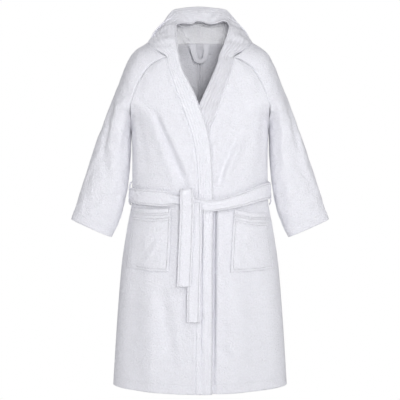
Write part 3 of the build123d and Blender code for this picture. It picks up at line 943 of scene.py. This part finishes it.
# Each side's sign, and how far its front stands out
SIDES = {"right": (1, LAP), "left": (-1, 0.0)}
GARMENT = "garment"  # the body that hangs still

fronts = {}
sleeves = {}
for name, (side, lap) in SIDES.items():
    fronts[name] = front_panel(f"front_{name}", side, lap)
    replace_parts(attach(fronts[name], GARMENT), f"front_panel_{name}")

back = back_panel()
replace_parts(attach(back, GARMENT), "back_panel")


for name, (side, lap) in SIDES.items():
    sleeves[name] = sleeve(f"raglan_sleeve_{name}", side, lap, seed=20 + side)
    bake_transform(sleeves[name])
    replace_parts(sleeves[name], f"sleeve_head_{name}", f"sleeve_{name}")

band = band_strip()
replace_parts(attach(band, GARMENT), "front_band_right", "front_band_left", "hood_band")

lining = hood_lining()
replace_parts(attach(lining, GARMENT), "hood_stand")

for name, (side, lap) in SIDES.items():
    half = hood_half(f"hood_half_{name}", side)
    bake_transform(half)
    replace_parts(half, f"hood_crown_{name}")

for name, (side, lap, top_in, top_out, foot_in, foot_out) in POCKETS.items():
    pocket = patch_pocket(f"patch_pocket_{name}", side, lap, top_in, top_out, foot_in, foot_out, 60 + side)
    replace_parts(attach(pocket, GARMENT), f"pocket_{name}")

belt = belt_strap()
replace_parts(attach(belt, GARMENT), "belt_waist")

# Middle lines of the straps (x, y, h), and their widths from first to last point
KNOT_LINE = [(-42, -128, 596), (-42, -129, 630), (-41, -133, 641), (-41, -140, 645), (-41, -147, 640)]
KNOT_LINE += [(-41, -150, 622), (-40.5, -149.5, 600), (-40.5, -147.5, 574)]
knot = dress(strap_sheet("belt_knot_wrap", KNOT_LINE, (40, 40, 41, 42, 43), 71), belt_terry)
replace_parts(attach(knot, GARMENT), "belt_knot")

REAR_LINE = [(-17, -134, 600), (-17, -135.5, 571), (-16, -139, 480), (-19, -142, 350), (-21.5, -147, 228)]
rear = dress(strap_sheet("belt_end_rear", REAR_LINE, (42, 43, 42, 41, 40), 72), belt_terry)
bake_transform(rear)
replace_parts(rear, "belt_tail_rear")

FRONT_LINE = [(-40.5, -147.5, 573.5), (-42, -146, 520), (-46, -148, 430), (-50, -151, 340)]
front_end = dress(strap_sheet("belt_end_front", FRONT_LINE, (43, 44, 44, 43), 73), belt_terry)
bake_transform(front_end)
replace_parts(front_end, "belt_tail_front")

LOOP_LINE = [(-222.5, 0, 669), (-226, 0, 665), (-228.5, 0, 655), (-229.5, 0, 630), (-231, 0, 606)]
LOOP_LINE += [(-230, 0, 600), (-227, 0, 594)]
LOOP_WIDTHS = (25, 24, 24, 25)
for name, (side, lap) in SIDES.items():
    line = [(side * x, y, h) for x, y, h in LOOP_LINE]
    shape = {"thick": 2.5, "flip": side < 0, "size": (60, 14), "lean": (0, 1, 0)}
    strip = strap_sheet(f"belt_keeper_{name}", line, LOOP_WIDTHS, 74, **shape)
    keeper = dress(strip, tape)
    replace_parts(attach(keeper, GARMENT), f"belt_loop_{name}")


def hanger_tape():
    """The flat tape of the hanging loop, doubled into a U."""
    legs = [(-25.5, 61, 1127), (-22, 60, 1105), (-17.5, 59, 1088)]
    turns = np.radians((210, 240, 270, 300, 330))
    bend = [(17 * math.cos(a), 58.5, 1086 + 13.5 * math.sin(a)) for a in turns]
    line = along(legs + bend + [(17.5, 59, 1088), (21, 60, 1105), (21, 61, 1127)], HANGER_GRID[0])
    tangent = unit(np.gradient(line, axis=0))
    sideways = unit(np.cross(tangent, (0, 1, 0)))
    share = np.linspace(0, 1, HANGER_GRID[0])
    width = 13 + 8 * np.abs(2 * share - 1) ** 2
    across = np.linspace(-0.5, 0.5, HANGER_GRID[1])
    grid = line[:, None, :] + across[None, :, None] * width[:, None, None] * sideways[:, None, :]
    edges = (0.5 - np.abs(across))[None, :] * width[:, None]
    thing = shell("hanger_tape", grid, thick=2.6, edge=edges, outside=1.3)
    return dress(thing, tape)


hanger = hanger_tape()
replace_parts(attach(hanger, "loop"), "hanging_loop")

# The studio, in metres in the CAD frame: the robe hangs above a pale floor
FLOOR_DROP = 0.16
FLOOR_REACH = 9.0
floor_mesh = bpy.data.meshes.new("studio_floor")
floor_z = -HOOK_HEIGHT / 1000 - FLOOR_DROP
turns = ((-1, -1), (1, -1), (1, 1), (-1, 1))
corners = [(FLOOR_REACH * i, FLOOR_REACH * j, floor_z) for i, j in turns]
floor_mesh.from_pydata(corners, [], [(0, 1, 2, 3)])
floor = bpy.data.objects.new("studio_floor", floor_mesh)
bpy.context.collection.objects.link(floor)


def seen_as_white(tree, lit, white):
    """Mix a shader that lights the scene with one that only the camera sees."""
    path = tree.nodes.new("ShaderNodeLightPath")
    mix = tree.nodes.new("ShaderNodeMixShader")
    tree.links.new(path.outputs["Is Camera Ray"], mix.inputs["Fac"])
    tree.links.new(lit.outputs[0], mix.inputs[1])
    tree.links.new(white.outputs[0], mix.inputs[2])
    return mix.outputs[0]


paper = bpy.data.materials.new("studio_paper")
paper.use_nodes = True
paper_tree = paper.node_tree
paper_tree.nodes["Principled BSDF"].inputs["Base Color"].default_value = (0.8, 0.8, 0.8, 1)
paper_tree.nodes["Principled BSDF"].inputs["Roughness"].default_value = 1.0
glow = paper_tree.nodes.new("ShaderNodeEmission")
seen = seen_as_white(paper_tree, paper_tree.nodes["Principled BSDF"], glow)
paper_tree.links.new(seen, paper_tree.nodes["Material Output"].inputs["Surface"])
floor_mesh.materials.append(paper)

AMBIENT = 0.34
world = bpy.data.worlds.new("studio")
bpy.context.scene.world = world
world.use_nodes = True
sky = world.node_tree.nodes["Background"]
sky.inputs["Color"].default_value = (0.97, 0.97, 1.0, 1)
sky.inputs["Strength"].default_value = AMBIENT
white_sky = world.node_tree.nodes.new("ShaderNodeBackground")
white_sky.inputs["Color"].default_value = (1, 1, 1, 1)
seen = seen_as_white(world.node_tree, sky, white_sky)
world.node_tree.links.new(seen, world.node_tree.nodes["World Output"].inputs["Surface"])


def softbox(name, place, target, size, power):
    """A square soft light."""
    data = bpy.data.lights.new(name, "AREA")
    data.size = size
    data.energy = power
    lamp = bpy.data.objects.new(name, data)
    lamp.location = place
    lamp.rotation_euler = (Vector(target) - Vector(place)).to_track_quat("-Z", "Y").to_euler()
    bpy.context.collection.objects.link(lamp)
    return lamp


CENTRE = (0, 0, -0.45)
softbox("key", (1.9, -2.4, 1.6), CENTRE, 0.9, 16)
softbox("fill", (-1.9, -2.7, 0.9), CENTRE, 1.2, 12)
softbox("behind", (-1.2, 3.4, 1.2), CENTRE, 1.6, 70)
softbox("front", (0.45, -3.7, -0.1), (0, 0, -0.2), 1.0, 68)

camera_data = bpy.data.cameras.new("camera")
camera_data.lens = 82.0
camera_data.sensor_width = 36.0
camera = bpy.data.objects.new("camera", camera_data)
camera.location = (0, -3.043, -0.462)
camera.rotation_euler = (math.pi / 2, 0, 0)
bpy.context.collection.objects.link(camera)
scene = bpy.context.scene
scene.camera = camera
scene.view_settings.view_transform = "Standard"
